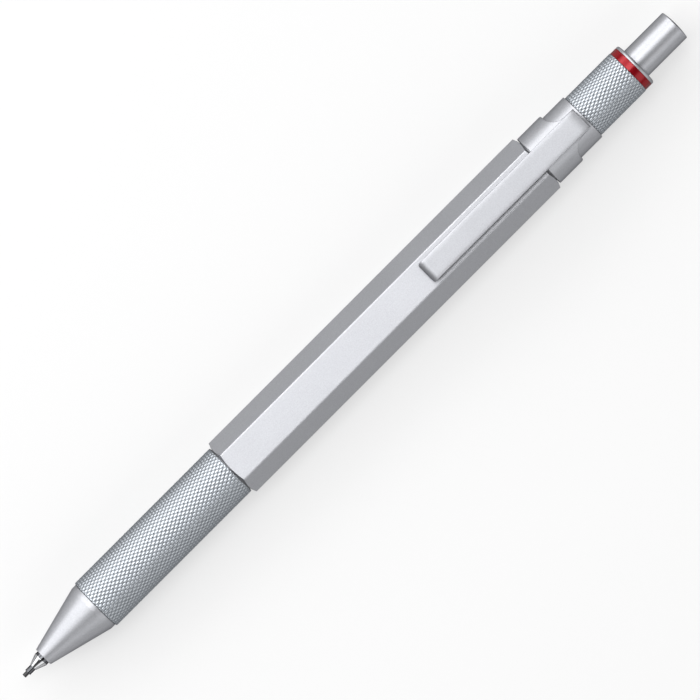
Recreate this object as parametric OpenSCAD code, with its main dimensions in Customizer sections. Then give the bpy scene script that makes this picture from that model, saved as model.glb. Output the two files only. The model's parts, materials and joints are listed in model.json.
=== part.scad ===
// Push-button mechanical pencil, lying on its side with the clip up.
// Every piece is drawn along its own axis: stations run from the end of the lead to the end of
// the button, and "up" is the side that carries the clip. lay() then lays the pencil down with
// the lead towards -X. The origin is on the table, under the middle of the pencil's length.

/* [Lead] */
// Diameter of the lead
lead_d = 0.7; // [0.5:0.1:0.9]
// Length of one lead
lead_l = 60; // [40:1:75]
// Lead that shows past the pipe
lead_out = 0.8; // [0.3:0.1:2]
// Spare leads in the tube
spare_count = 3; // [1:1:4]

/* [Guide tip] */
// Wall of the lead pipe
pipe_wall = 0.155; // [0.1:0.005:0.25]
// Pipe that shows past the tip
pipe_out = 1.15; // [0.6:0.05:4]
// Pipe held inside the tip
pipe_seat_l = 3; // [2:0.1:4]
// Rim of the tip around the pipe
tip_rim = 0.05; // [0.03:0.01:0.15]
// Length of the tip's cone
tip_cone_l = 1.7; // [1:0.1:3]
// Length of the land between the cone and the nose
tip_land_l = 0.5; // [0.2:0.1:1]
// Diameter of the tip in the mouth of the nose
tip_d = 2.5; // [2.3:0.05:2.9]
// Step of the flange that seats the tip in the nose
tip_step = 0.35; // [0.25:0.05:0.5]
// Wall of the flange around the lead retainer
tip_flange_wall = 0.48; // [0.3:0.02:0.6]
// Floor of the tip in front of the lead retainer
tip_floor = 0.6; // [0.4:0.1:1]
// Length of the rubber lead retainer
retainer_l = 2.2; // [1.5:0.1:2.6]
// Depth of the funnel that leads the lead into the retainer
funnel_l = 0.8; // [0.4:0.1:1.2]

/* [Nose] */
// Wall of the nose at its mouth
mouth_wall = 0.305; // [0.25:0.005:0.5]
// Length of the nose from its mouth to its neck
nose_l = 10.35; // [9.5:0.05:14]
// Diameter of the nose at its neck
nose_d = 8.5; // [8:0.1:9]
// Length of the round neck in front of the grip
neck_l = 0.9; // [0.5:0.1:2]
// Length of the lip in front of the tip's flange
nose_lip_l = 2.25; // [1.6:0.05:2.6]
// Length of the spigot that goes into the grip
nose_spigot_l = 4.6; // [3:0.1:7]
// Wall of that spigot
nose_spigot_wall = 0.63; // [0.4:0.01:0.8]

/* [Button and clutch travel] */
// Travel of the button
button_travel = 2.5; // [1.5:0.1:3]
// Travel of the clutch ring before the nose stops it
ring_travel = 0.85; // [0.5:0.05:1.2]

/* [Chuck and clutch] */
// Diameter of the chuck's head
chuck_head_d = 2.5; // [2.3:0.05:2.8]
// Straight land of the chuck's head
chuck_land_l = 0.6; // [0.4:0.1:1]
// Length of the taper behind that land
chuck_taper_l = 0.9; // [0.5:0.1:1.2]
// Chamfer in front of the chuck's head
chuck_chamfer = 0.2; // [0.1:0.05:0.3]
// Depth of the chuck's head in the clutch ring
chuck_inset = 0.3; // [0.1:0.1:0.6]
// Diameter of the chuck's neck
chuck_neck_d = 1.8; // [1.6:0.05:1.95]
// Diameter of the chuck's root
chuck_root_d = 2; // [2:0.05:2.2]
// Length of the chuck's root
chuck_root_l = 4; // [2:0.5:5]
// Width of the slits between the jaws
slit_w = 0.3; // [0.2:0.05:0.4]
// Number of jaws
jaw_count = 3; // [2:1:4]
// Length of the clutch ring
ring_l = 1.8; // [1.4:0.1:2.4]
// Wall of the clutch ring
ring_wall = 0.8; // [0.6:0.05:1]
// Front wall of the clutch sleeve
sleeve_front_l = 2.3; // [1.5:0.1:3]
// Wall of the clutch sleeve around the spring
sleeve_wall = 0.4; // [0.3:0.05:0.5]
// Thickness of the flange that the nose clamps in the grip
sleeve_flange_l = 1.5; // [1:0.1:2.5]
// Clutch sleeve past the spring seat
sleeve_tail_l = 0.8; // [0.4:0.1:2]

/* [Spring] */
// Length of the return spring at rest
spring_l = 12; // [10:0.5:15]
// Outer diameter of the spring
spring_d = 3.9; // [3.8:0.05:4.1]
// Diameter of the spring's wire
wire_d = 0.35; // [0.3:0.05:0.4]
// Turns of the spring
spring_turns = 8; // [5:1:9]

/* [Lead tube] */
// Outer diameter of the lead tube
tube_d = 3.6; // [3.4:0.05:3.8]
// Wall of the lead tube
tube_wall = 0.4; // [0.3:0.05:0.5]
// Thickness of the spring seat on the chuck holder
seat_l = 1.2; // [0.8:0.1:2]
// Length of the chuck holder's spigot in the tube
holder_spigot_l = 4; // [3:0.5:8]

/* [Grip] */
// Length of the grip
grip_l = 28.95; // [26:0.05:40]
// Diameter of the grip over its knurl
grip_d = 9.05; // [8.8:0.05:9.5]
// Chamfer at the ends of both knurled sleeves
knurl_chamfer = 0.12; // [0.05:0.01:0.2]

/* [Barrel] */
// Length of the barrel
barrel_l = 65.85; // [55:0.05:80]
// Width of the barrel across its flats
barrel_flats = 9; // [8.8:0.05:9.6]
// Rounding along the barrel's corners
corner_r = 0.3; // [0.1:0.05:0.6]
// Bore of the barrel
barrel_bore = 6.6; // [6.4:0.05:7.2]
// Radial step from the flats to the barrel's end face
barrel_end_step = 0.1; // [0.05:0.05:0.3]
// Lengthwise rise of the end chamfer for each millimetre across
barrel_end_slope = 0.4; // [0.3:0.05:1]
// Width of the bush's flange between the grip and the barrel
bush_flange_l = 0.15; // [0.1:0.05:0.5]
// Depth of the grooves at the ends of the barrel
groove_depth = 0.3; // [0.1:0.05:0.5]
// Length of the bush in the grip
bush_front_l = 5.5; // [4:0.5:7]
// Length of the bush in the barrel
bush_rear_l = 7.5; // [5:0.5:12]
// Step from the bush in the barrel to the bush in the grip
bush_step = 0.08; // [0.04:0.02:0.2]

/* [Clip collar] */
// Width of the groove between the barrel and the collar
groove_w = 0.3; // [0.1:0.05:0.5]
// Diameter of the collar's wide ring
collar_d = 9.35; // [9.2:0.05:9.8]
// Length of the collar's wide ring
collar_wide_l = 4.85; // [4:0.05:7]
// Rounding at the rear edge of the wide ring
collar_round = 0.4; // [0.2:0.05:0.6]
// Diameter of the collar's narrow ring
collar_narrow_d = 8.42; // [8.2:0.02:8.6]
// Length of the collar's narrow ring
collar_narrow_l = 4.5; // [4:0.1:6]
// Chamfer on the collar's other edges
collar_chamfer = 0.12; // [0.05:0.01:0.2]
// Length of the collar's spigot in the barrel
collar_spigot_l = 8.3; // [5:0.1:12]
// Margin of the clip's boss past the sides of the clip
boss_margin = 0.06; // [0.03:0.01:0.2]
// Fillet between the boss and the wide ring, seen from above
boss_fillet = 2.4; // [1:0.1:2.5]

/* [Clip] */
// Length of the clip
clip_l = 33.1; // [25:0.05:45]
// Width of the clip at its free end
clip_tip_w = 3.9; // [3.4:0.05:4.2]
// Width of the clip at the collar
clip_root_w = 3.63; // [3.2:0.01:4]
// Thickness of the clip
clip_t = 0.9; // [0.7:0.05:1.2]
// Gap between the clip and the barrel
clip_gap = 0.9; // [0.7:0.05:1.4]
// Length of the bend at the clip's root
clip_root_run = 1.8; // [0.8:0.05:2.2]
// Drop of the clip's face over that bend
clip_root_drop = 0.6; // [0.3:0.05:0.8]
// Bend at the clip's free end
clip_tip_bend = 0.5; // [0.2:0.05:0.8]
// Depth of the clip's tang in the collar
tang_depth = 1; // [0.6:0.05:1.05]
// Step from the clip's rear face to the collar's end
clip_inset = 0.2; // [0.15:0.05:0.4]

/* [Rear sleeve] */
// Length of the rear knurled sleeve
rear_l = 9.7; // [9:0.1:14]
// Diameter of the rear sleeve over its knurl
rear_d = 7.9; // [7.6:0.05:8.2]
// Length of the rear sleeve's spigot in the collar
rear_spigot_l = 6; // [4:0.1:7]
// Wall of that spigot
rear_spigot_wall = 0.42; // [0.3:0.02:0.5]
// Width of the colour ring
colour_l = 1.2; // [0.8:0.1:2]
// Diameter of the colour ring
colour_d = 7.74; // [7.4:0.02:8]
// Length of the end bezel's lip
lip_l = 0.55; // [0.4:0.05:1]
// Diameter of the end bezel's lip
lip_d = 7.76; // [7.4:0.02:8]
// Rounding of the end bezel's lip
lip_round = 0.4; // [0.2:0.05:0.4]
// Wall of the end bezel's spigot
bezel_wall = 0.5; // [0.35:0.05:0.6]
// Length of the end bezel's spigot in the rear sleeve
bezel_spigot_l = 4.7; // [3:0.1:6]

/* [Button and eraser] */
// Button that shows past the bezel
button_out = 8.55; // [6:0.05:12]
// Button inside the bezel and the rear sleeve
button_in = 8; // [6:0.1:9]
// Diameter of the button
button_d = 5.3; // [5:0.05:5.6]
// Wall of the button
button_wall = 0.4; // [0.3:0.05:0.5]
// Thickness of the button's end
button_end_t = 0.9; // [0.6:0.1:1.5]
// Dome of the button's end
button_dome = 0.25; // [0.1:0.05:0.4]
// Length of the eraser
eraser_l = 10; // [8:0.5:12]
// Room between the eraser and the button's end
eraser_room = 3.1; // [1:0.1:4]
// Wall of the eraser's ferrule
ferrule_wall = 0.28; // [0.2:0.02:0.34]
// Ferrule on the lead tube
ferrule_grip_l = 5; // [3:0.5:6]
// Ferrule around the eraser
ferrule_cup_l = 7; // [4:0.5:8]

/* [Clearances] */
// Gap around pieces that are fixed together
fit_gap = 0.02; // [0.01:0.005:0.04]
// Gap around pieces that slide in each other
run_gap = 0.05; // [0.03:0.01:0.08]
// Gap between the lead and what it slides in
lead_gap = 0.035; // [0.02:0.005:0.06]
// Gap at the ends of a travel
stop_gap = 0.05; // [0.03:0.01:0.1]
// Room around pieces that pass each other
pass_gap = 0.2; // [0.1:0.05:0.3]
// Gap around the clip's tang
tang_gap = 0.12; // [0.1:0.01:0.15]
// Gap under the clip's foot
foot_gap = 0.05; // [0.02:0.01:0.2]

/* [Hidden] */
$fn = 96;
// Points on each quarter of a rounded edge
arc_steps = 6;
// Rings and sides of the spring's wire
wire_rings = 12;
wire_sides = 8;

// Lead, pipe and tip
lead_r = lead_d / 2;
lead_way_r = lead_r + lead_gap;
pipe_r = lead_way_r + pipe_wall;
pipe_seat_r = pipe_r + fit_gap;
tip_r = tip_d / 2;
tip_flange_r = tip_r + tip_step;
retainer_seat_r = tip_flange_r - tip_flange_wall;
retainer_r = retainer_seat_r - fit_gap;
pipe_start = lead_out;
tip_start = pipe_start + pipe_out;
pipe_end = tip_start + pipe_seat_l;
mouth = tip_start + tip_cone_l + tip_land_l;
tip_seat = mouth + nose_lip_l;
retainer_start = tip_seat + tip_floor;
retainer_end = retainer_start + retainer_l;

// Chuck and clutch: the pressed chuck stops short of the retainer
jaw_room = 0.5;
chuck_head_r = chuck_head_d / 2;
chuck_neck_r = chuck_neck_d / 2;
chuck_root_r = chuck_root_d / 2;
ring_bore_r = chuck_head_r + run_gap;
ring_r = ring_bore_r + ring_wall;
chuck_start = retainer_end + button_travel + jaw_room;
ring_start = chuck_start - chuck_inset;
ring_end = ring_start + ring_l;
ring_stop = ring_start - ring_travel - stop_gap;
sleeve_start = ring_end + stop_gap;

// Spring and clutch sleeve
spring_r = spring_d / 2;
spring_bore_r = spring_r - wire_d;
sleeve_bore_r = spring_r + pass_gap;
sleeve_r = sleeve_bore_r + sleeve_wall;
spring_start = sleeve_start + sleeve_front_l;
spring_end = spring_start + spring_l;
socket_spare = 0.5;
root_start = spring_start + button_travel + socket_spare;
chuck_end = root_start + chuck_root_l;
tube_start = spring_end + seat_l;
sleeve_end = tube_start + sleeve_tail_l;
seat_r = sleeve_bore_r - run_gap;
socket_r = spring_bore_r - pass_gap;
chuck_way_r = chuck_root_r + run_gap;

// Nose and grip
mouth_r = tip_r + fit_gap + mouth_wall;
nose_r = nose_d / 2;
nose_spigot_r = sleeve_r + fit_gap + nose_spigot_wall;
neck_start = mouth + nose_l;
grip_start = neck_start + neck_l;
nose_end = grip_start + nose_spigot_l;
grip_seat = nose_end + sleeve_flange_l;
grip_end = grip_start + grip_l;
grip_r = grip_d / 2;
grip_mid_r = sleeve_r + pass_gap;

// Barrel and bush
barrel_start = grip_end + bush_flange_l;
barrel_end = barrel_start + barrel_l;
barrel_flat_r = barrel_flats / 2;
bush_r = barrel_bore / 2 - fit_gap;
bush_front_r = bush_r - bush_step;
bush_flange_r = min(grip_r, barrel_flat_r) - groove_depth;
bush_start = grip_end - bush_front_l;
bush_end = barrel_start + bush_rear_l;
tube_r = tube_d / 2;
tube_bore_r = tube_r - tube_wall;

// Button, ferrule and eraser, across
button_r = button_d / 2;
button_bore_r = button_r - button_wall;
ferrule_r = button_bore_r - run_gap;
eraser_r = ferrule_r - ferrule_wall - fit_gap;
button_way_r = button_r + run_gap;
carriage_way_r = ferrule_r + pass_gap;

// Collar, rear sleeve and bezel
collar_r = collar_d / 2;
collar_narrow_r = collar_narrow_d / 2;
rear_spigot_r = button_way_r + rear_spigot_wall;
bezel_spigot_r = button_way_r + bezel_wall;
collar_start = barrel_end + groove_w;
collar_step = collar_start + collar_wide_l;
collar_end = collar_step + collar_narrow_l;
rear_spigot_start = collar_end - rear_spigot_l;
rear_end = collar_end + rear_l;
bezel_start = rear_end - bezel_spigot_l;
lip_start = rear_end + colour_l;
lip_end = lip_start + lip_l;

// Button, ferrule and eraser, along
total_l = lip_end + button_out;
button_start = lip_end - button_in;
button_stop = button_start - button_travel - stop_gap;
button_floor = total_l - button_dome - button_end_t;
eraser_end = button_floor - eraser_room;
tube_end = eraser_end - eraser_l;
ferrule_start = tube_end - ferrule_grip_l;
ferrule_end = tube_end + ferrule_cup_l;

// Clip, as heights above the pencil's axis
clip_end = collar_end - clip_inset;
clip_start = clip_end - clip_l;
clip_under = barrel_flat_r + clip_gap;
clip_top = clip_under + clip_t;
foot_bottom = barrel_flat_r + foot_gap;
tang_bottom = collar_r - tang_depth;
boss_w = clip_root_w + 2 * (tang_gap + boss_margin);

// Height of the axis when the pencil lies on its widest round or flat
axis_height = max(collar_r, barrel_flat_r, grip_r);

// Lays a piece drawn along its axis down on the table, with the clip's side up
module lay() {
    translate([-total_l / 2, 0, axis_height])
        rotate([0, 90, 0])
            rotate([0, 0, 180])
                children();
}

function reversed(points) = [for (i = [len(points) - 1 : -1 : 0]) points[i]];

// Points of an arc about [x, y], between two angles, with its radius along x and along y
function oval(x, y, rx, ry, from, to) = [
    for (i = [0 : arc_steps])
        let (a = from + (to - from) * i / arc_steps)
            [x + rx * cos(a), y + ry * sin(a)]
];

// Points of a round arc of radius r about [x, y], between two angles
function arc(x, y, r, from, to) = oval(x, y, r, r, from, to);

// Turned piece between an outer and an inner outline, each a list of [radius, station]
module turned(outer, inner) {
    rotate_extrude()
        polygon(concat(outer, reversed(inner)));
}

// Straight outline of one radius
function straight(r, from, to) = [[r, from], [r, to]];

// Outline of one radius with a chamfer at both ends
function chamfered(r, from, to, c) = [[r - c, from], [r, from + c], [r, to - c], [r - c, to]];

// Drilled hole along the axis
module drill(r, from, to) {
    translate([0, 0, from])
        cylinder(r = r, h = to - from);
}

// Outline of [height, station], drawn from the side and as wide as given
module from_side(width) {
    rotate([90, 0, 0])
        linear_extrude(width, center = true)
            children();
}

// Outline of [offset, station], drawn from above and as high as given
module from_above(height) {
    rotate([90, 0, 90])
        linear_extrude(height)
            children();
}

module lead() {
    color("dimgray")
        lay()
            cylinder(r = lead_r, h = lead_l);
}

module lead_pipe() {
    color("gainsboro")
        lay()
            turned(
                straight(pipe_r, pipe_start, pipe_end),
                straight(lead_way_r, pipe_start, pipe_end)
            );
}

module guide_tip() {
    outer = concat(
        [[pipe_seat_r + tip_rim, tip_start], [tip_r, tip_start + tip_cone_l]],
        straight(tip_r, mouth, tip_seat),
        straight(tip_flange_r, tip_seat, retainer_end)
    );
    inner = concat(
        straight(pipe_seat_r, tip_start, pipe_end),
        straight(lead_way_r, pipe_end, retainer_start),
        straight(retainer_seat_r, retainer_start, retainer_end)
    );
    color("gainsboro")
        lay()
            turned(outer, inner);
}

module lead_retainer() {
    funnel_r = (lead_way_r + retainer_r) / 2;
    inner = [
        [lead_way_r, retainer_start],
        [lead_way_r, retainer_end - funnel_l],
        [funnel_r, retainer_end]
    ];
    color("dimgray")
        lay()
            turned(straight(retainer_r, retainer_start, retainer_end), inner);
}

module nose_cone() {
    outer = concat(
        [[mouth_r, mouth]],
        straight(nose_r, neck_start, grip_start),
        straight(nose_spigot_r, grip_start, nose_end)
    );
    inner = concat(
        straight(tip_r + fit_gap, mouth, tip_seat),
        straight(tip_flange_r + fit_gap, tip_seat, ring_stop),
        straight(ring_r + run_gap, ring_stop, sleeve_start),
        straight(sleeve_r + fit_gap, sleeve_start, nose_end)
    );
    color("silver")
        lay()
            turned(outer, inner);
}

// Slit jaws: each slit runs from the head to just in front of the root
module chuck() {
    land_start = chuck_start + chuck_chamfer;
    taper_start = land_start + chuck_land_l;
    slit_l = root_start - chuck_start - chuck_root_r;
    outer = concat(
        [[chuck_head_r - chuck_chamfer, chuck_start]],
        straight(chuck_head_r, land_start, taper_start),
        straight(chuck_neck_r, taper_start + chuck_taper_l, root_start),
        straight(chuck_root_r, root_start, chuck_end)
    );
    color("goldenrod")
        lay()
            difference() {
                turned(outer, straight(lead_way_r, chuck_start, chuck_end));
                for (jaw = [1 : jaw_count])
                    rotate([0, 0, 360 * jaw / jaw_count])
                        translate([0, -slit_w / 2, chuck_start - slit_w])
                            cube([chuck_head_d, slit_w, slit_l + slit_w]);
            }
}

module clutch_ring() {
    color("gold")
        lay()
            turned(
                straight(ring_r, ring_start, ring_end),
                straight(ring_bore_r, ring_start, ring_end)
            );
}

module clutch_sleeve() {
    outer = concat(
        straight(sleeve_r, sleeve_start, nose_end),
        straight(nose_spigot_r, nose_end, grip_seat),
        straight(sleeve_r, grip_seat, sleeve_end)
    );
    inner = concat(
        straight(chuck_way_r, sleeve_start, spring_start),
        straight(sleeve_bore_r, spring_start, sleeve_end)
    );
    color("gold")
        lay()
            turned(outer, inner);
}

// Coil of round wire, swept as rings of points along a helix
module return_spring() {
    path_r = spring_r - wire_d / 2;
    wire_r = wire_d / 2;
    path_start = spring_start + wire_r + stop_gap;
    path_l = spring_l - wire_d - 2 * stop_gap;
    ring_total = spring_turns * wire_rings;
    lean = atan(path_l / (spring_turns * 2 * PI * path_r));
    points = [
        for (i = [0 : ring_total], k = [0 : wire_sides - 1])
            let (
                turn = 360 * i / wire_rings,
                side = 360 * k / wire_sides,
                r = path_r + wire_r * cos(side),
                along = wire_r * sin(side)
            )
            [
                r * cos(turn) + along * sin(lean) * sin(turn),
                r * sin(turn) - along * sin(lean) * cos(turn),
                path_start + path_l * i / ring_total + along * cos(lean)
            ]
    ];
    skin = [
        for (i = [0 : ring_total - 1], k = [0 : wire_sides - 1])
            let (
                next = (k + 1) % wire_sides,
                a = i * wire_sides + k,
                b = i * wire_sides + next,
                c = a + wire_sides,
                d = b + wire_sides
            )
            each [[a, b, d], [a, d, c]]
    ];
    last = ring_total * wire_sides;
    caps = [
        for (k = [1 : wire_sides - 2])
            each [[0, k + 1, k], [last, last + k, last + k + 1]]
    ];
    color("lightgray")
        lay()
            polyhedron(points, concat(skin, caps));
}

module chuck_holder() {
    spigot_end = tube_start + holder_spigot_l;
    outer = concat(
        straight(socket_r, root_start, spring_end),
        straight(seat_r, spring_end, tube_start),
        straight(tube_bore_r - fit_gap, tube_start, spigot_end)
    );
    inner = concat(
        straight(chuck_root_r + fit_gap, root_start, chuck_end),
        straight(lead_way_r, chuck_end, spigot_end)
    );
    color("gray")
        lay()
            turned(outer, inner);
}

module lead_tube() {
    color("whitesmoke")
        lay()
            turned(
                straight(tube_r, tube_start, tube_end),
                straight(tube_bore_r, tube_start, tube_end)
            );
}

// The spare leads lie side by side along the bottom of the tube
module spare_leads() {
    row_r = tube_bore_r - lead_r - fit_gap;
    row_angle = 2 * asin((lead_r + fit_gap) / row_r);
    row_start = tube_start + holder_spigot_l + pass_gap;
    color("dimgray")
        lay()
            for (i = [0 : spare_count - 1])
                rotate([0, 0, 180 + row_angle * (i - (spare_count - 1) / 2)])
                    translate([row_r, 0, row_start])
                        cylinder(r = lead_r, h = lead_l);
}

module grip_sleeve() {
    inner = concat(
        straight(nose_spigot_r + fit_gap, grip_start, grip_seat),
        straight(grip_mid_r, grip_seat, bush_start),
        straight(bush_front_r + fit_gap, bush_start, grip_end)
    );
    color("silver")
        lay()
            turned(chamfered(grip_r, grip_start, grip_end, knurl_chamfer), inner);
}

module barrel_bush() {
    outer = concat(
        straight(bush_front_r, bush_start, grip_end),
        straight(bush_flange_r, grip_end, barrel_start),
        straight(bush_r, barrel_start, bush_end)
    );
    color("dimgray")
        lay()
            turned(outer, straight(carriage_way_r, bush_start, bush_end));
}

// Hexagon with rounded corners and a flat towards the clip, turned to a chamfer at both ends
module hex_barrel() {
    end_r = barrel_flat_r - barrel_end_step;
    corner_reach = barrel_flat_r / cos(30);
    chamfer_l = barrel_end_slope * (corner_reach - end_r);
    corner_at = (barrel_flat_r - corner_r) / cos(30);
    outline = [
        for (corner = [0 : 5])
            let (a = 30 + 60 * corner)
                each arc(corner_at * cos(a), corner_at * sin(a), corner_r, a - 30, a + 30)
    ];
    ends = [
        [end_r, barrel_start],
        [corner_reach, barrel_start + chamfer_l],
        [corner_reach, barrel_end - chamfer_l],
        [end_r, barrel_end]
    ];
    color("silver")
        lay()
            difference() {
                intersection() {
                    translate([0, 0, barrel_start])
                        linear_extrude(barrel_l)
                            polygon(outline);
                    turned(ends, straight(0, barrel_start, barrel_end));
                }
                drill(barrel_bore / 2, barrel_start - groove_w, barrel_end + groove_w);
            }
}

// Raised boss under the clip's root, with a fillet on each side where it leaves the wide ring
module clip_boss() {
    boss_l = clip_end - collar_step;
    reach = boss_w / 2 + boss_fillet;
    intersection() {
        drill(collar_r, collar_step - collar_round, clip_end);
        from_above(collar_d)
            difference() {
                translate([-reach, collar_step - collar_round])
                    square([2 * reach, boss_l + collar_round]);
                for (side = [-1, 1])
                    translate([side * reach, collar_step + boss_fillet]) {
                        circle(r = boss_fillet);
                        translate([-boss_fillet, 0])
                            square([2 * boss_fillet, boss_l]);
                    }
            }
    }
}

// The narrow ring's rim closes the notch behind the clip's tang
module clip_collar() {
    spigot_start = barrel_end - collar_spigot_l;
    groove_r = barrel_flat_r - groove_depth;
    notch_start = clip_end - clip_t - tang_gap;
    notch_end = clip_end + stop_gap;
    notch_w = clip_root_w + 2 * tang_gap;
    notch_bottom = tang_bottom - tang_gap;
    outer = concat(
        straight(bush_r, spigot_start, barrel_end),
        straight(groove_r, barrel_end, collar_start),
        [[collar_r - collar_chamfer, collar_start], [collar_r, collar_start + collar_chamfer]],
        arc(collar_r - collar_round, collar_step - collar_round, collar_round, 0, 90),
        [
            [collar_narrow_r, collar_step],
            [collar_narrow_r, collar_end - collar_chamfer],
            [collar_narrow_r - collar_chamfer, collar_end]
        ]
    );
    color("silver")
        lay()
            difference() {
                union() {
                    turned(outer, straight(carriage_way_r, spigot_start, collar_end));
                    difference() {
                        clip_boss();
                        drill(carriage_way_r, collar_start, collar_end + clip_inset);
                    }
                }
                drill(rear_spigot_r + fit_gap, rear_spigot_start - stop_gap, collar_end + clip_inset);
                translate([notch_bottom, 0, 0])
                    from_above(collar_r)
                        translate([-notch_w / 2, notch_start])
                            square([notch_w, notch_end - notch_start]);
            }
}

// Flat strip bent down at both ends: a foot on the barrel and a tang in the collar's notch
module clip() {
    tip_inner = clip_start + clip_t;
    root_inner = clip_end - clip_t;
    outline = concat(
        [[foot_bottom, tip_inner], [foot_bottom, clip_start]],
        reversed(arc(clip_top - clip_tip_bend, clip_start + clip_tip_bend, clip_tip_bend, 0, -90)),
        reversed(oval(
            clip_top - clip_root_drop, clip_end - clip_root_run, clip_root_drop, clip_root_run, 90, 0
        )),
        [
            [tang_bottom, clip_end],
            [tang_bottom, root_inner],
            [clip_under, root_inner],
            [clip_under, tip_inner]
        ]
    );
    plan = [
        [-clip_tip_w / 2, clip_start],
        [clip_tip_w / 2, clip_start],
        [clip_root_w / 2, clip_end],
        [-clip_root_w / 2, clip_end]
    ];
    color("lightgray")
        lay()
            intersection() {
                from_side(2 * max(clip_tip_w, clip_root_w))
                    polygon(outline);
                from_above(2 * clip_top)
                    polygon(plan);
            }
}

module rear_sleeve() {
    outer = concat(
        straight(rear_spigot_r, rear_spigot_start, collar_end),
        chamfered(rear_d / 2, collar_end, rear_end, knurl_chamfer)
    );
    inner = concat(
        straight(carriage_way_r, rear_spigot_start, button_stop),
        straight(button_way_r, button_stop, bezel_start),
        straight(bezel_spigot_r + fit_gap, bezel_start, rear_end)
    );
    color("silver")
        lay()
            turned(outer, inner);
}

module colour_ring() {
    color("firebrick")
        lay()
            turned(
                straight(colour_d / 2, rear_end, lip_start),
                straight(bezel_spigot_r + fit_gap, rear_end, lip_start)
            );
}

module end_bezel() {
    lip_r = lip_d / 2;
    outer = concat(
        straight(bezel_spigot_r, bezel_start, lip_start),
        [[lip_r, lip_start]],
        arc(lip_r - lip_round, lip_end - lip_round, lip_round, 0, 90)
    );
    color("silver")
        lay()
            turned(outer, straight(button_way_r, bezel_start, lip_end));
}

module eraser_holder() {
    inner = concat(
        straight(tube_r + fit_gap, ferrule_start, tube_end),
        straight(eraser_r + fit_gap, tube_end, ferrule_end)
    );
    color("lightgray")
        lay()
            turned(straight(ferrule_r, ferrule_start, ferrule_end), inner);
}

module eraser() {
    edge = eraser_r / 3;
    outer = concat(
        [[eraser_r, tube_end]],
        arc(eraser_r - edge, eraser_end - edge, edge, 0, 90)
    );
    color("white")
        lay()
            turned(outer, straight(0, tube_end, eraser_end));
}

// Cap over the eraser, closed by a slightly domed end
module push_button() {
    dome_r = (button_r * button_r + button_dome * button_dome) / (2 * button_dome);
    dome_angle = acos(button_r / dome_r);
    outer = concat(
        [[button_r, button_start]],
        arc(0, total_l - dome_r, dome_r, dome_angle, 90)
    );
    inner = [[button_bore_r, button_start], [button_bore_r, button_floor], [0, button_floor]];
    color("silver")
        lay()
            turned(outer, inner);
}

lead();
lead_pipe();
guide_tip();
lead_retainer();
nose_cone();
chuck();
clutch_ring();
clutch_sleeve();
return_spring();
chuck_holder();
lead_tube();
spare_leads();
grip_sleeve();
barrel_bush();
hex_barrel();
clip_collar();
clip();
rear_sleeve();
colour_ring();
end_bezel();
eraser_holder();
eraser();
push_button();
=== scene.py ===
import json
import math

import bmesh
import bpy
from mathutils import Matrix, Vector


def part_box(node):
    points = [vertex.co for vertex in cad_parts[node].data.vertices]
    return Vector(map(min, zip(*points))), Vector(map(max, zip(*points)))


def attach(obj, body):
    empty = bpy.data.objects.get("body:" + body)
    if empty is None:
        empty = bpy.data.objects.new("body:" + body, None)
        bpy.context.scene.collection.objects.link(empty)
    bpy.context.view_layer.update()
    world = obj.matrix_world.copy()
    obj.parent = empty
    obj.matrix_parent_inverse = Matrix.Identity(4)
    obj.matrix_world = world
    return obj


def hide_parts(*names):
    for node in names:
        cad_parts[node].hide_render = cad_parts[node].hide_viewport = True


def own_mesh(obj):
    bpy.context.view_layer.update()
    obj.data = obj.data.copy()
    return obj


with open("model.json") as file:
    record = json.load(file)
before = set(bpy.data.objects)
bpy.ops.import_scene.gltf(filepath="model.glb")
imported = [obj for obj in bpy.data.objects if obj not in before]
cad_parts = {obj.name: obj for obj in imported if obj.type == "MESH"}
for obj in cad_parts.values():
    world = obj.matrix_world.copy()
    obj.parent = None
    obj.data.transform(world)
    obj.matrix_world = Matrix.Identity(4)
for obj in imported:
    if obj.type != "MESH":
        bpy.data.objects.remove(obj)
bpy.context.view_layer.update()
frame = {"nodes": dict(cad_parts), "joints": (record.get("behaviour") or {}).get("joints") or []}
nodes = frame["nodes"]


# Lead
# A thin rod of graphite and clay, extruded and fired, with a little of it out of the pipe.
# The edge of its writing end is rubbed round. It runs back through the retainer and the jaws.

mm = 0.001
lead_low, lead_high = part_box("lead")
axis_height = (lead_low.z + lead_high.z) / 2
lead_radius = (lead_high.y - lead_low.y) / 2
lead_edge = 0.1 * mm
sharp_angle = math.radians(35)
weld_distance = 0.0001 * mm


def rounded(outline, steps=4):
    """An outline whose corners end in their rounding, with each corner as a small curve."""
    points = []
    for i, (*corner, rounding) in enumerate(outline):
        corner = Vector(corner)
        before = Vector(outline[i - 1][:-1]) - corner
        after = Vector(outline[(i + 1) % len(outline)][:-1]) - corner
        start = corner + before.normalized() * min(rounding, before.length / 2)
        end = corner + after.normalized() * min(rounding, after.length / 2)
        if rounding == 0:
            points.append(corner)
            continue
        for step in range(steps + 1):
            share = step / steps
            points.append(start.lerp(corner, share).lerp(corner.lerp(end, share), share))
    return points


def finished(name, shape):
    """A smooth-shaded piece from a bmesh, sharp where its faces turn by more than the set angle."""
    bmesh.ops.recalc_face_normals(shape, faces=shape.faces)
    mesh = bpy.data.meshes.new(name)
    shape.to_mesh(mesh)
    shape.free()
    mesh.shade_smooth()
    mesh.set_sharp_from_angle(angle=sharp_angle)
    piece = bpy.data.objects.new(name, mesh)
    bpy.context.scene.collection.objects.link(piece)
    weighted = piece.modifiers.new("shading by face size", "WEIGHTED_NORMAL")
    weighted.keep_sharp = True
    return piece


def around_axis(angle, place, radius):
    """A point at an angle from the top of the pencil, a place along it and a distance from its axis."""
    return Vector((place, -radius * math.sin(angle), axis_height + radius * math.cos(angle)))


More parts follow.
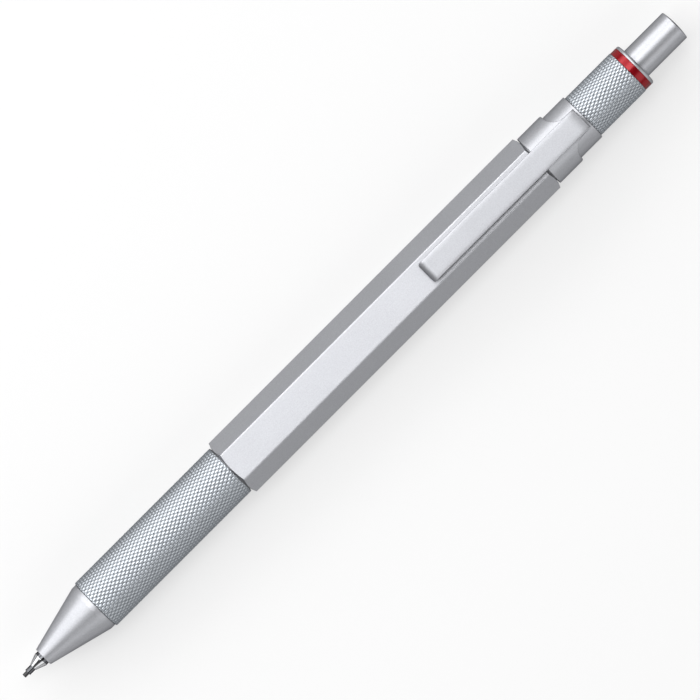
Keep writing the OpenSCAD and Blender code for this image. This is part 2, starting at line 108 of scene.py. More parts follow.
def joined(name, outlines):
    """A piece around the pencil's axis, from its closed outlines, one after the other around it."""
    shape = bmesh.new()
    columns = [[shape.verts.new(point) for point in outline] for outline in outlines]
    for left, right in zip(columns, columns[1:] + columns[:1]):
        for k in range(len(left)):
            shape.faces.new((left[k - 1], left[k], right[k], right[k - 1]))
    bmesh.ops.triangulate(shape, faces=shape.faces, quad_method="SHORT_EDGE")
    bmesh.ops.remove_doubles(shape, verts=shape.verts, dist=weld_distance)
    loose = [edge for edge in shape.edges if not edge.link_faces]
    bmesh.ops.delete(shape, geom=loose, context="EDGES")
    return finished(name, shape)


def revolved(name, angles, outline_at):
    """A piece whose outline of (place along the axis, radius) is given at each angle from the top."""
    return joined(name, [
        [around_axis(angle, place, radius) for place, radius in outline_at(angle)] for angle in angles
    ])


def turned(name, outline, steps=96):
    """A piece turned on a lathe, from one outline of (place along the axis, radius, rounding)."""
    points = rounded(outline)
    angles = [math.tau * step / steps for step in range(steps)]
    return revolved(name, angles, lambda angle: points)


def linear(code):
    """An sRGB hex colour as linear red, green, blue and alpha."""
    shares = [int(code[i:i + 2], 16) / 255 for i in (1, 3, 5)]
    return [s / 12.92 if s <= 0.04045 else ((s + 0.055) / 1.055) ** 2.4 for s in shares] + [1]


def add(material, kind, settings, links=None):
    """Adds a shader node. Lower-case settings are its options, and the others are its sockets."""
    node = material.node_tree.nodes.new(kind)
    for key, value in settings.items():
        if isinstance(key, str) and key.islower():
            setattr(node, key, value)
        else:
            node.inputs[key].default_value = value
    for key, source in (links or {}).items():
        material.node_tree.links.new(source, node.inputs[key])
    return node


def new_material(name, settings):
    """A material with its principled shader set, and the coordinates that its patterns use."""
    material = bpy.data.materials.new(name)
    material.use_nodes = True
    material.node_tree.nodes.clear()
    shader = add(material, "ShaderNodeBsdfPrincipled", settings)
    add(material, "ShaderNodeOutputMaterial", {}, {"Surface": shader.outputs["BSDF"]})
    place = add(material, "ShaderNodeTexCoord", {}).outputs["Object"]
    return material, shader, place


def dress(piece, material):
    """Gives a piece its one material."""
    piece.data.materials.clear()
    piece.data.materials.append(material)


# Fired graphite: near black, with a dull sheen and fine streaks along it from the die.
graphite, shader, place = new_material("fired_graphite", {"IOR": 1.5})
streak_width = 0.12 * mm
streak_length = 1.5 * mm
stretched = add(
    graphite, "ShaderNodeMapping",
    {"Scale": (1 / streak_length, 1 / streak_width, 1 / streak_width)}, {"Vector": place}
)
streaks = add(
    graphite, "ShaderNodeTexNoise", {"Scale": 1, "Detail": 2},
    {"Vector": stretched.outputs["Vector"]}
).outputs["Fac"]
tone = add(
    graphite, "ShaderNodeMix",
    {"data_type": "RGBA", 6: linear("#101012"), 7: linear("#1e1e21")}, {"Factor": streaks}
)
gloss = add(graphite, "ShaderNodeMapRange", {"To Min": 0.28, "To Max": 0.42}, {"Value": streaks})
graphite.node_tree.links.new(tone.outputs[2], shader.inputs["Base Color"])
graphite.node_tree.links.new(gloss.outputs["Result"], shader.inputs["Roughness"])

writing_lead = turned("writing_lead", [
    (lead_low.x, 0, 0),
    (lead_low.x, lead_radius, lead_edge),
    (lead_high.x, lead_radius, lead_edge),
    (lead_high.x, 0, 0),
], steps=32)
dress(writing_lead, graphite)
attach(writing_lead, "lead")
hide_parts("lead")


# Lead pipe and guide tip
# The pipe is drawn steel tube, pressed into a cone that is turned and polished bright.
# The cone's shank goes through the mouth of the nose, and its flange seats inside.

pipe_low, pipe_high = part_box("lead_pipe")
pipe_radius = (pipe_high.y - pipe_low.y) / 2
lead_gap = 0.035 * mm
lead_way = lead_radius + lead_gap
pipe_edge = 0.06 * mm
tip_low, tip_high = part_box("guide_tip")
retainer_low, retainer_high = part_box("lead_retainer")
fit_gap = 0.02 * mm
pipe_seat = pipe_radius + fit_gap
tip_rim = 0.05 * mm
tip_rim_edge = 0.03 * mm
tip_edge = 0.05 * mm
tip_fine_edge = 0.02 * mm
tip_radius = 1.25 * mm
tip_cone_length = 1.7 * mm
tip_shoulder = 0.06 * mm
tip_shank_drop = 0.05 * mm
tip_shank_radius = tip_radius - tip_shank_drop
tip_floor = 0.6 * mm
tip_flange_radius = (tip_high.y - tip_low.y) / 2
tip_seat = retainer_low.x - tip_floor
retainer_seat = (retainer_high.y - retainer_low.y) / 2 + fit_gap
tip_cone_end = tip_low.x + tip_cone_length

# Polished steel: a near mirror, dark at its edges, with faint rings from the lathe that blur it.
# The shank behind the cone is painted darker, as painted shade inside the nose's mouth.
polished_steel, shader, place = new_material("polished_turned_steel", {
    "Metallic": 1.0, "Specular Tint": linear("#303030"),
})
along = add(polished_steel, "ShaderNodeSeparateXYZ", {}, {"Vector": place}).outputs["X"]
# Painted shade: the colour darkens past the end of the cone, on the shank inside the nose's mouth.
painted_shank_shade = add(
    polished_steel, "ShaderNodeMapRange",
    {"From Min": tip_cone_end, "From Max": tip_cone_end + tip_shoulder}, {"Value": along}
)
tone = add(
    polished_steel, "ShaderNodeMix",
    {"data_type": "RGBA", 6: linear("#b4b5b7"), 7: linear("#56575a")},
    {"Factor": painted_shank_shade.outputs["Result"]}
)
lathe_pitch = 0.09 * mm
lathe_depth = 0.0008 * mm
# A wave texture of scale 1 has its bands this far apart.
wave_length_at_scale_one = math.tau / 20
rings = add(
    polished_steel, "ShaderNodeTexWave",
    {"wave_type": "BANDS", "bands_direction": "X", "Scale": wave_length_at_scale_one / lathe_pitch,
     "Distortion": 0.6, "Detail": 1},
    {"Vector": place}
).outputs["Fac"]
bump = add(
    polished_steel, "ShaderNodeBump", {"Strength": 0.5, "Distance": lathe_depth}, {"Height": rings}
)
gloss = add(polished_steel, "ShaderNodeMapRange", {"To Min": 0.05, "To Max": 0.11}, {"Value": rings})
polished_steel.node_tree.links.new(tone.outputs[2], shader.inputs["Base Color"])
polished_steel.node_tree.links.new(bump.outputs["Normal"], shader.inputs["Normal"])
polished_steel.node_tree.links.new(gloss.outputs["Result"], shader.inputs["Roughness"])

drawn_pipe = turned("drawn_pipe", [
    (pipe_low.x, pipe_radius, pipe_edge),
    (pipe_high.x, pipe_radius, pipe_edge),
    (pipe_high.x, lead_way, pipe_edge),
    (pipe_low.x, lead_way, pipe_edge),
], steps=48)
polished_tip = turned("polished_tip", [
    (tip_low.x, pipe_seat + tip_rim, tip_rim_edge),
    (tip_cone_end, tip_radius, tip_edge),
    (tip_cone_end + tip_shoulder, tip_shank_radius, tip_fine_edge),
    (tip_seat, tip_shank_radius, 0),
    (tip_seat, tip_flange_radius, tip_edge),
    (tip_high.x, tip_flange_radius, tip_edge),
    (tip_high.x, retainer_seat, tip_edge),
    (retainer_low.x, retainer_seat, 0),
    (retainer_low.x, lead_way, 0),
    (pipe_high.x, lead_way, 0),
    (pipe_high.x, pipe_seat, 0),
    (tip_low.x, pipe_seat, tip_fine_edge),
])

# Drawn steel: greyer and less bright than the cone, with fine lines along it from the die.
drawn_steel, shader, place = new_material("drawn_steel_tube", {
    "Base Color": linear("#505154"), "Metallic": 1.0, "Specular Tint": linear("#303030"),
})
die_mark_width = 0.1 * mm
die_mark_length = 3 * mm
stretched = add(
    drawn_steel, "ShaderNodeMapping",
    {"Scale": (1 / die_mark_length, 1 / die_mark_width, 1 / die_mark_width)}, {"Vector": place}
)
marks = add(
    drawn_steel, "ShaderNodeTexNoise", {"Scale": 1, "Detail": 2},
    {"Vector": stretched.outputs["Vector"]}
).outputs["Fac"]
gloss = add(drawn_steel, "ShaderNodeMapRange", {"To Min": 0.08, "To Max": 0.16}, {"Value": marks})
drawn_steel.node_tree.links.new(gloss.outputs["Result"], shader.inputs["Roughness"])

for piece, node, metal in (
    (drawn_pipe, "lead_pipe", drawn_steel), (polished_tip, "guide_tip", polished_steel)
):
    dress(piece, metal)
    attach(piece, "root")
    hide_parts(node)


# Lead retainer
# A small collar of moulded rubber, pressed into the back of the guide tip.
# Its bore grips the lead, so that the lead stays where the jaws have put it.

# Moulded rubber: black and dull, with the fine roughness of its mould.
black_rubber, shader, place = new_material("moulded_black_rubber", {
    "Base Color": linear("#1b1b1c"), "Roughness": 0.75, "IOR": 1.52,
})
mould_grain = 0.08 * mm
rubber_grain_depth = 0.01 * mm
grain = add(
    black_rubber, "ShaderNodeTexNoise", {"Scale": 1 / mould_grain, "Detail": 2}, {"Vector": place}
).outputs["Fac"]
bump = add(
    black_rubber, "ShaderNodeBump", {"Strength": 0.5, "Distance": rubber_grain_depth},
    {"Height": grain}
)
black_rubber.node_tree.links.new(bump.outputs["Normal"], shader.inputs["Normal"])
dress(nodes["lead_retainer"], black_rubber)


# Nose cone
# Turned brass, bead blasted and plated in silver colour. The long cone ends in a short round neck,
# and a spigot behind the neck screws into the grip.

nose_low, nose_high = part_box("nose_cone")
grip_low, grip_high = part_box("grip_sleeve")
ring_low, ring_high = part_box("clutch_ring")
sleeve_low, sleeve_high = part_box("clutch_sleeve")
neck_radius = (nose_high.y - nose_low.y) / 2
neck_length = 0.9 * mm
mouth_radius = 1.575 * mm
mouth_edge = 0.08 * mm
mouth_inner_edge = 0.05 * mm
neck_bend = 0.1 * mm
neck_edge = 0.12 * mm
spigot_edge = 0.1 * mm
ring_travel = 0.85 * mm
stop_gap = 0.05 * mm
run_gap = 0.05 * mm
sleeve_radius = 2.55 * mm
spigot_radius = (sleeve_high.y - sleeve_low.y) / 2
ring_stop = ring_low.x - ring_travel - stop_gap
ring_way = (ring_high.y - ring_low.y) / 2 + run_gap
slant_tint = linear("#606060")
blast_grit = 0.2 * mm
pit_depth = 0.0015 * mm
cloud_size = 8 * mm
gloss_spread = 0.04


def blasted_metal(name, dark, light, roughness):
    """A metal with a blasted, satin surface: fine pits that spread the light and glint a little.
    Seen at a slant the pits shade each other, so the metal darkens towards its edges.
    The grit is drawn coarser than the real one, which would be too fine to show."""
    material, shader, place = new_material(name, {"Metallic": 1.0, "Specular Tint": slant_tint})
    pits = add(
        material, "ShaderNodeTexNoise", {"Scale": 1 / blast_grit, "Detail": 3, "Roughness": 0.6},
        {"Vector": place}
    ).outputs["Fac"]
    clouds = add(
        material, "ShaderNodeTexNoise", {"Scale": 1 / cloud_size, "Detail": 2}, {"Vector": place}
    ).outputs["Fac"]
    tone = add(
        material, "ShaderNodeMix", {"data_type": "RGBA", 6: linear(dark), 7: linear(light)},
        {"Factor": pits}
    )
    gloss = add(
        material, "ShaderNodeMapRange",
        {"To Min": roughness - gloss_spread, "To Max": roughness + gloss_spread}, {"Value": clouds}
    )
    bump = add(
        material, "ShaderNodeBump", {"Strength": 0.4, "Distance": pit_depth}, {"Height": pits}
    )
    material.node_tree.links.new(tone.outputs[2], shader.inputs["Base Color"])
    material.node_tree.links.new(gloss.outputs["Result"], shader.inputs["Roughness"])
    material.node_tree.links.new(bump.outputs["Normal"], shader.inputs["Normal"])
    return material


# Satin plate: pale grey, soft wide highlights and a fine sparkle.
satin_plate = blasted_metal("blasted_plated_brass", "#929397", "#b1b2b6", 0.48)

satin_nose = turned("satin_nose", [
    (nose_low.x, mouth_radius, mouth_edge),
    (grip_low.x - neck_length, neck_radius, neck_bend),
    (grip_low.x, neck_radius, neck_edge),
    (grip_low.x, spigot_radius, 0),
    (nose_high.x, spigot_radius, spigot_edge),
    (nose_high.x, sleeve_radius + fit_gap, 0),
    (sleeve_low.x, sleeve_radius + fit_gap, 0),
    (sleeve_low.x, ring_way, 0),
    (ring_stop, ring_way, 0),
    (ring_stop, tip_flange_radius + fit_gap, 0),
    (tip_seat, tip_flange_radius + fit_gap, 0),
    (tip_seat, tip_radius + fit_gap, 0),
    (nose_low.x, tip_radius + fit_gap, mouth_inner_edge),
], steps=144)
dress(satin_nose, satin_plate)
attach(satin_nose, "root")
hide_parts("nose_cone")


# Chuck, clutch ring and clutch sleeve
# Turned brass, left bare. The slit jaws of the chuck sit in the ring, which closes them on the lead,
# and the sleeve behind the ring carries the spring.

# Turned brass: warm yellow, with the fine rings that the lathe leaves.
turned_brass, shader, place = new_material("turned_brass", {
    "Base Color": linear("#d9b871"), "Metallic": 1.0,
})
brass_pitch = 0.12 * mm
brass_ring_depth = 0.003 * mm
rings = add(
    turned_brass, "ShaderNodeTexWave",
    {"wave_type": "BANDS", "bands_direction": "X", "Scale": wave_length_at_scale_one / brass_pitch,
     "Distortion": 1.0, "Detail": 2},
    {"Vector": place}
).outputs["Fac"]
gloss = add(turned_brass, "ShaderNodeMapRange", {"To Min": 0.2, "To Max": 0.34}, {"Value": rings})
bump = add(
    turned_brass, "ShaderNodeBump", {"Strength": 0.5, "Distance": brass_ring_depth}, {"Height": rings}
)
turned_brass.node_tree.links.new(gloss.outputs["Result"], shader.inputs["Roughness"])
turned_brass.node_tree.links.new(bump.outputs["Normal"], shader.inputs["Normal"])
for node in ("chuck", "clutch_ring", "clutch_sleeve"):
    dress(nodes[node], turned_brass)


# Return spring
# A coil of drawn spring wire between the clutch sleeve and the seat on the chuck holder.
# It shortens as the button goes in.

spring_low, spring_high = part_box("return_spring")
spring_radius = (spring_high.y - spring_low.y) / 2
wire_radius = 0.175 * mm
spring_turns = 8
rings_per_turn = 36
wire_sides = 12
button_travel = next(j for j in frame["joints"] if j["name"] == "button_press")["range_m"][1]

coil = bmesh.new()
coil_radius = spring_radius - wire_radius
coil_start = spring_low.x + wire_radius
coil_length = spring_high.x - spring_low.x - 2 * wire_radius
wire_rings = []
for i in range(spring_turns * rings_per_turn + 1):
    turn = math.tau * i / rings_per_turn
    outward = Vector((0, -math.sin(turn), math.cos(turn)))
    centre = Vector((coil_start + coil_length * i / (spring_turns * rings_per_turn), 0, axis_height))
    wire_rings.append([
        coil.verts.new(
            centre + outward * (coil_radius + wire_radius * math.cos(side))
            + Vector((wire_radius * math.sin(side), 0, 0))
        )
        for side in (math.tau * k / wire_sides for k in range(wire_sides))
    ])
for left, right in zip(wire_rings, wire_rings[1:]):
    for k in range(wire_sides):
        coil.faces.new((left[k - 1], left[k], right[k], right[k - 1]))
coil.faces.new(wire_rings[0])
coil.faces.new(wire_rings[-1])
coiled_spring = finished("coiled_spring", coil)

# Drawn spring steel: grey and fairly bright, with faint scratches from the die.
spring_steel, shader, place = new_material("drawn_spring_steel", {
    "Base Color": linear("#b4b4b8"), "Metallic": 1.0,
})
scratch_width = 0.05 * mm
scratches = add(
    spring_steel, "ShaderNodeTexNoise", {"Scale": 1 / scratch_width, "Detail": 2}, {"Vector": place}
).outputs["Fac"]
gloss = add(spring_steel, "ShaderNodeMapRange", {"To Min": 0.2, "To Max": 0.4}, {"Value": scratches})
spring_steel.node_tree.links.new(gloss.outputs["Result"], shader.inputs["Roughness"])
dress(coiled_spring, spring_steel)
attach(coiled_spring, "root")
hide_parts("return_spring")
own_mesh(coiled_spring)


# Chuck holder, lead tube and spare leads
# The holder is a moulded plug that joins the chuck to the tube, and its rim is the spring's seat.
# The tube is extruded plastic. It stores the spare leads, and pushes the chuck.

# Acetal, moulded: mid grey and slightly glossy, with a fine mould grain.
grey_acetal, shader, place = new_material("moulded_grey_acetal", {
    "Base Color": linear("#7b7b7e"), "Roughness": 0.4, "IOR": 1.48,
})
acetal_grain_depth = 0.004 * mm
grain = add(
    grey_acetal, "ShaderNodeTexNoise", {"Scale": 1 / mould_grain, "Detail": 2}, {"Vector": place}
).outputs["Fac"]
bump = add(
    grey_acetal, "ShaderNodeBump", {"Strength": 0.3, "Distance": acetal_grain_depth}, {"Height": grain}
)
grey_acetal.node_tree.links.new(bump.outputs["Normal"], shader.inputs["Normal"])
dress(nodes["chuck_holder"], grey_acetal)

# Polypropylene, extruded: milky white, with long faint lines from the die.
white_tube, shader, place = new_material("extruded_white_polypropylene", {
    "Base Color": linear("#e9e9e6"), "IOR": 1.49, "Subsurface Weight": 0.1,
    "Subsurface Scale": 0.5 * mm,
})
die_line_width = 0.2 * mm
die_line_length = 20 * mm
stretched = add(
    white_tube, "ShaderNodeMapping",
    {"Scale": (1 / die_line_length, 1 / die_line_width, 1 / die_line_width)}, {"Vector": place}
)
lines = add(
    white_tube, "ShaderNodeTexNoise", {"Scale": 1, "Detail": 2},
    {"Vector": stretched.outputs["Vector"]}
).outputs["Fac"]
gloss = add(white_tube, "ShaderNodeMapRange", {"To Min": 0.3, "To Max": 0.45}, {"Value": lines})
white_tube.node_tree.links.new(gloss.outputs["Result"], shader.inputs["Roughness"])
dress(nodes["lead_tube"], white_tube)
dress(nodes["spare_leads"], graphite)


# Grip sleeve
# Brass bar, diamond knurled and plated in silver colour, screwed on over the nose's spigot.
# Two sets of grooves cross and leave small round-topped bumps, longer than they are wide.

grip_radius = (grip_high.y - grip_low.y) / 2
bush_low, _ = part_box("barrel_bush")
bush_front_radius = 3.2 * mm
pass_gap = 0.2 * mm
grip_waist_setback = 7.75 * mm
grip_waist_start = sleeve_low.x + grip_waist_setback
knurl_chamfer = 0.12 * mm
knurl_depth = 0.14 * mm
knurl_steps = 6


def knurled(name, start, end, radius, count, pitch, inner):
    """A sleeve with crossed knurling: so many bumps around it, at that pitch along it.
    Every second row of points is half a step around, so that edges run along both sets of grooves.
    inner is the rest of its outline, from the end of the knurl back to its start."""
    rows = round((end - start) / pitch * 2 * knurl_steps)
    steps = count * knurl_steps
    outlines = []
    for step in range(steps):
        points = []
        for row in range(rows + 1):
            place = start + (end - start) * row / rows
            along = row / (2 * knurl_steps)
            around = (step + row % 2 / 2) / knurl_steps
            slopes = [2 * ((around + way * along) % 1) - 1 for way in (1, -1)]
            fall = knurl_depth * (slopes[0] ** 2 + slopes[1] ** 2) / 2
            chamfer = knurl_chamfer - min(place - start, end - place)
            points.append(around_axis(math.tau * around / count, place, radius - max(fall, chamfer)))
        angle = math.tau * step / steps
        outlines.append(points + [around_axis(angle, place, radius) for place, radius in inner])
    sleeve = joined(name, outlines)
    depths = [
        (radius - math.hypot(point.co.y, point.co.z - axis_height)) / knurl_depth
        for point in sleeve.data.vertices
    ]
    sleeve.data.attributes.new("groove", "FLOAT", "POINT").data.foreach_set("value", depths)
    return sleeve


# Knurled plate: the same plating, bright and a little bluish on the crests, and rougher down in the
# grooves. The grooves are painted darker too, as painted shade where the bumps shadow them.
knurled_plate, shader, _ = new_material("knurled_plated_brass", {
    "Metallic": 1.0, "Specular Tint": linear("#383838"),
})
groove = add(knurled_plate, "ShaderNodeAttribute", {"attribute_name": "groove"}).outputs["Fac"]
# Painted shade: the deeper a point lies in the grooves, the darker its colour; it is rougher there too.
groove_shade_and_dullness = add(
    knurled_plate, "ShaderNodeMapRange",
    {"interpolation_type": "SMOOTHSTEP", "From Min": 0.1, "From Max": 0.5}, {"Value": groove}
).outputs["Result"]
tone = add(
    knurled_plate, "ShaderNodeMix",
    {"data_type": "RGBA", 6: linear("#a8acb1"), 7: linear("#7f8388")}, {"Factor": groove_shade_and_dullness}
)
gloss = add(knurled_plate, "ShaderNodeMapRange", {"To Min": 0.34, "To Max": 0.44}, {"Value": groove_shade_and_dullness})
knurled_plate.node_tree.links.new(tone.outputs[2], shader.inputs["Base Color"])
knurled_plate.node_tree.links.new(gloss.outputs["Result"], shader.inputs["Roughness"])

grip_knurl_count = 42
grip_knurl_pitch = 1.073 * mm
knurled_grip = knurled(
    "knurled_grip", grip_low.x, grip_high.x, grip_radius, grip_knurl_count, grip_knurl_pitch, [
        (grip_high.x, bush_front_radius + 2 * fit_gap),
        (bush_low.x, bush_front_radius + 2 * fit_gap),
        (bush_low.x, sleeve_radius + pass_gap),
        (grip_waist_start, sleeve_radius + pass_gap),
        (grip_waist_start, spigot_radius + fit_gap),
        (grip_low.x, spigot_radius + fit_gap),
    ]
)
dress(knurled_grip, knurled_plate)
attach(knurled_grip, "root")
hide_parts("grip_sleeve")


# Barrel bush
# A turned, blackened brass bush that screws the grip to the barrel. Only the rim of its flange shows,
# as the fine dark line between the two.

# Blackened brass: dark and dull, with fine lathe rings.
black_brass, shader, place = new_material("blackened_brass", {
    "Base Color": linear("#6a6a6d"), "Metallic": 1.0,
})
rings = add(
    black_brass, "ShaderNodeTexWave",
    {"wave_type": "BANDS", "bands_direction": "X", "Scale": wave_length_at_scale_one / brass_pitch,
     "Distortion": 1.0, "Detail": 2},
    {"Vector": place}
).outputs["Fac"]
gloss = add(black_brass, "ShaderNodeMapRange", {"To Min": 0.4, "To Max": 0.55}, {"Value": rings})
black_brass.node_tree.links.new(gloss.outputs["Result"], shader.inputs["Roughness"])
dress(nodes["barrel_bush"], black_brass)


# Hexagonal barrel
# Drawn hexagonal tube with softly rounded corners, blasted and satin finished.
# Both ends are turned to a shallow chamfer, which leaves a curved edge across each facet.

barrel_low, barrel_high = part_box("hex_barrel")
barrel_flat = (barrel_high.z - barrel_low.z) / 2
barrel_bore = 3.3 * mm
barrel_corner = 0.3 * mm
barrel_end_drop = 0.1 * mm
barrel_end_radius = barrel_flat - barrel_end_drop
barrel_end_slope = 0.4
barrel_edge = 0.02 * mm
flat_steps = 14
corner_steps = 8
facets = 6
half_facet = math.pi / facets
corner_centre = (barrel_flat - barrel_corner) / math.cos(half_facet)
corner_share = math.atan2(
    barrel_corner * math.sin(half_facet), corner_centre + barrel_corner * math.cos(half_facet)
)


def barrel_radius(angle):
    """Distance from the axis to the hexagon's skin, at an angle from the middle of the top facet."""
    off_facet = (angle + half_facet) % (2 * half_facet) - half_facet
    off_corner = half_facet - abs(off_facet)
    if off_corner >= corner_share:
        return barrel_flat / math.cos(off_facet)
    across = corner_centre * math.sin(off_corner)
    return corner_centre * math.cos(off_corner) + math.sqrt(barrel_corner ** 2 - across ** 2)


def barrel_outline(angle):
    """The barrel's outline at an angle, with the turned chamfer at both ends."""
    radius = barrel_radius(angle)
    rise = barrel_end_slope * (radius - barrel_end_radius)
    return rounded([
        (barrel_low.x, barrel_end_radius, barrel_edge),
        (barrel_low.x + rise, radius, 2 * barrel_edge),
        (barrel_high.x - rise, radius, 2 * barrel_edge),
        (barrel_high.x, barrel_end_radius, barrel_edge),
        (barrel_high.x, barrel_bore, 0),
        (barrel_low.x, barrel_bore, 0),
    ], steps=3)


barrel_angles = []
for facet in range(facets):
    middle = 2 * half_facet * facet
    reach = half_facet - corner_share
    for step in range(flat_steps):
        barrel_angles.append(middle + reach * (2 * step / flat_steps - 1))
    for step in range(corner_steps):
        barrel_angles.append(middle + reach + 2 * corner_share * step / corner_steps)

# Satin barrel: the palest of the metals here, even and soft, with a fine sparkle.
satin_aluminium = blasted_metal("blasted_aluminium", "#96979b", "#b6b7bb", 0.49)
satin_barrel = revolved("satin_barrel", barrel_angles, barrel_outline)
dress(satin_barrel, satin_aluminium)
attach(satin_barrel, "root")
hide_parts("hex_barrel")


# Pocket clip
# A stamped strip of spring steel, satin finished, with a flat face and rounded edges and corners.
# The free end is bent down to the barrel, and the tang at its root drops into the collar's notch.
# It reaches a little further forward than the solid it replaces, and ends a little sooner.

clip_low, clip_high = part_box("clip")
clip_thickness = 0.9 * mm
clip_foot_height = 4.55 * mm
clip_foot = axis_height + clip_foot_height
clip_tip_bend = 1.2 * mm
clip_tip_corner = 0.3 * mm
clip_root_bend = 5.5 * mm
clip_root_slope = math.radians(15)
clip_root_ramp = 0.3 * mm
clip_root_edge = 0.1 * mm
clip_root_corner = 0.45 * mm
clip_width = 3.78 * mm
clip_crown = 0.03 * mm
crown_power = 8
clip_edge = 0.12 * mm
bend_steps = 12
ramp_steps = 5
strip_steps = 16
edge_steps = 5
clip_under = clip_high.z - clip_thickness
clip_heel = clip_high.x - clip_thickness
clip_front_reach = 0.42 * mm
clip_end_setback = 0.23 * mm
clip_front = clip_low.x - clip_front_reach
clip_end = clip_high.x - clip_end_setback
ramp_start = clip_end - clip_root_ramp
ramp_top = clip_high.z - clip_root_bend * (1 - math.cos(clip_root_slope))
ramp_end = ramp_top - clip_root_ramp * math.tan(clip_root_slope)
root_bend_start = ramp_start - clip_root_bend * math.sin(clip_root_slope)


def bend(place, height, radius, start, end):
    """Points of a round bend about (place, height), between two angles from the vertical."""
    angles = [start + (end - start) * i / bend_steps for i in range(bend_steps + 1)]
    return [(place + radius * math.sin(a), height + radius * math.cos(a)) for a in angles]


def clip_half_width(place):
    """Half the clip's width at a place along it, with its corners rounded at both ends."""
    half_width = clip_width / 2
    for corner, end_distance in (
        (clip_tip_corner, place - clip_front), (clip_root_corner, clip_end - place)
    ):
        past_corner = max(0, corner - end_distance)
        half_width -= corner - math.sqrt(max(0, corner ** 2 - past_corner ** 2))
    return half_width


strip = bmesh.new()


def strip_row(top, below):
    """The clip's section at one station: its face with both rounded edges, and its underside."""
    face_half = clip_half_width(top[0]) - clip_edge
    under_half = clip_half_width(below[0])
    depth = math.dist(top, below)
    full_crown = clip_crown * (top[1] - clip_low.z) / (clip_high.z - clip_low.z)
    half_row = []
    for step in range(strip_steps // 2 + 1):
        across = 1 - (1 - 2 * step / strip_steps) ** 2
        half_row.append((across * face_half, full_crown * across ** crown_power))
    for step in range(1, edge_steps + 1):
        turn = math.pi / 2 * step / edge_steps
        drop = full_crown + clip_edge * (1 - math.cos(turn))
        half_row.append((face_half + clip_edge * math.sin(turn), drop))
    whole_row = [(-off, drop) for off, drop in reversed(half_row[1:])] + half_row
    face_row = []
    for off, drop in whole_row:
        place = top[0] + (below[0] - top[0]) * drop / depth
        height = top[1] + (below[1] - top[1]) * drop / depth
        face_row.append(strip.verts.new((place, off, height)))
    under_row = [strip.verts.new((below[0], side * under_half, below[1])) for side in (-1, 1)]
    return face_row, under_row


strip_rows = [strip_row((clip_front, clip_foot), (clip_front + clip_thickness, clip_foot))]
tip_bend_middle = (clip_front + clip_tip_bend, clip_high.z - clip_tip_bend)
for point, inner_point in zip(
    bend(*tip_bend_middle, clip_tip_bend, -math.pi / 2, 0),
    bend(*tip_bend_middle, clip_tip_bend - clip_thickness, -math.pi / 2, 0)
):
    strip_rows.append(strip_row(point, inner_point))
root_face = bend(root_bend_start, clip_high.z - clip_root_bend, clip_root_bend, 0, clip_root_slope)
for step in range(1, ramp_steps + 1):
    run = (clip_root_ramp - clip_root_edge) * step / ramp_steps
    root_face.append((ramp_start + run, ramp_top - run * math.tan(clip_root_slope)))
root_face += bend(
    clip_end - clip_root_edge, ramp_end - clip_root_edge / math.cos(clip_root_slope), clip_root_edge,
    clip_root_slope, math.pi / 2
)
for point in root_face:
    strip_rows.append(strip_row(point, (min(point[0], clip_heel), clip_under)))
strip_rows.append(strip_row((clip_end, clip_low.z), (clip_heel, clip_low.z)))
for (face, under), (next_face, next_under) in zip(strip_rows, strip_rows[1:]):
    for i in range(len(face) - 1):
        strip.faces.new((face[i], face[i + 1], next_face[i + 1], next_face[i]))
    strip.faces.new((under[0], next_under[0], next_under[1], under[1]))
    for i in (0, -1):
        strip.faces.new((face[i], next_face[i], next_under[i], under[i]))
for face, under in (strip_rows[0], strip_rows[-1]):
    strip.faces.new(face + under[::-1])
bmesh.ops.remove_doubles(strip, verts=strip.verts, dist=weld_distance)
satin_clip = finished("satin_clip", strip)

# Satin spring steel: a little greyer than the barrel, with the same fine grain.
clip_steel = blasted_metal("blasted_spring_steel", "#909195", "#afb0b4", 0.49)
dress(satin_clip, clip_steel)
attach(satin_clip, "clip")
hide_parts("clip")


# Clip collar
# Turned and milled brass, blasted and plated like the nose, with a spigot screwed into the barrel.
# A wide ring steps down to a narrow one. A boss is left standing on the narrow one, flared into the
# step on both sides, and its notch holds the clip's root.

collar_low, collar_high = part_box("clip_collar")
button_low, button_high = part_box("push_button")
rear_low, rear_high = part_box("rear_sleeve")
button_radius = (button_high.y - button_low.y) / 2
button_way = button_radius + run_gap
rear_spigot_wall = 0.42 * mm
rear_spigot_radius = button_way + rear_spigot_wall
carriage_way = 2.4 * mm
collar_radius = (collar_high.y - collar_low.y) / 2
collar_spigot_radius = barrel_bore - fit_gap
groove_depth = 0.5 * mm
groove_radius = barrel_flat - groove_depth
groove_width = 0.16 * mm
collar_front = barrel_high.x + groove_width
narrow_length = 4.5 * mm
collar_step = collar_high.x - narrow_length
collar_edge = 0.12 * mm
narrow_edge = 0.05 * mm
notch_rear_edge = 0.03 * mm
step_rounding = 0.4 * mm
narrow_radius = 4.21 * mm
tang_gap = 0.12 * mm
tang_side_gap = 0.03 * mm
boss_margin = 0.03 * mm
boss_flare = 2.4 * mm
boss_draft = 0.06 * mm
boss_edge = 0.08 * mm
notch_half = clip_width / 2 + tang_side_gap
boss_half = notch_half + boss_margin
flare_reach = boss_half + boss_flare
notch_floor = clip_low.z - axis_height - tang_gap
notch_front = clip_heel - tang_gap
notch_rear = clip_end + stop_gap
flare_steps = 14
notch_steps = 6
ring_steps = 84


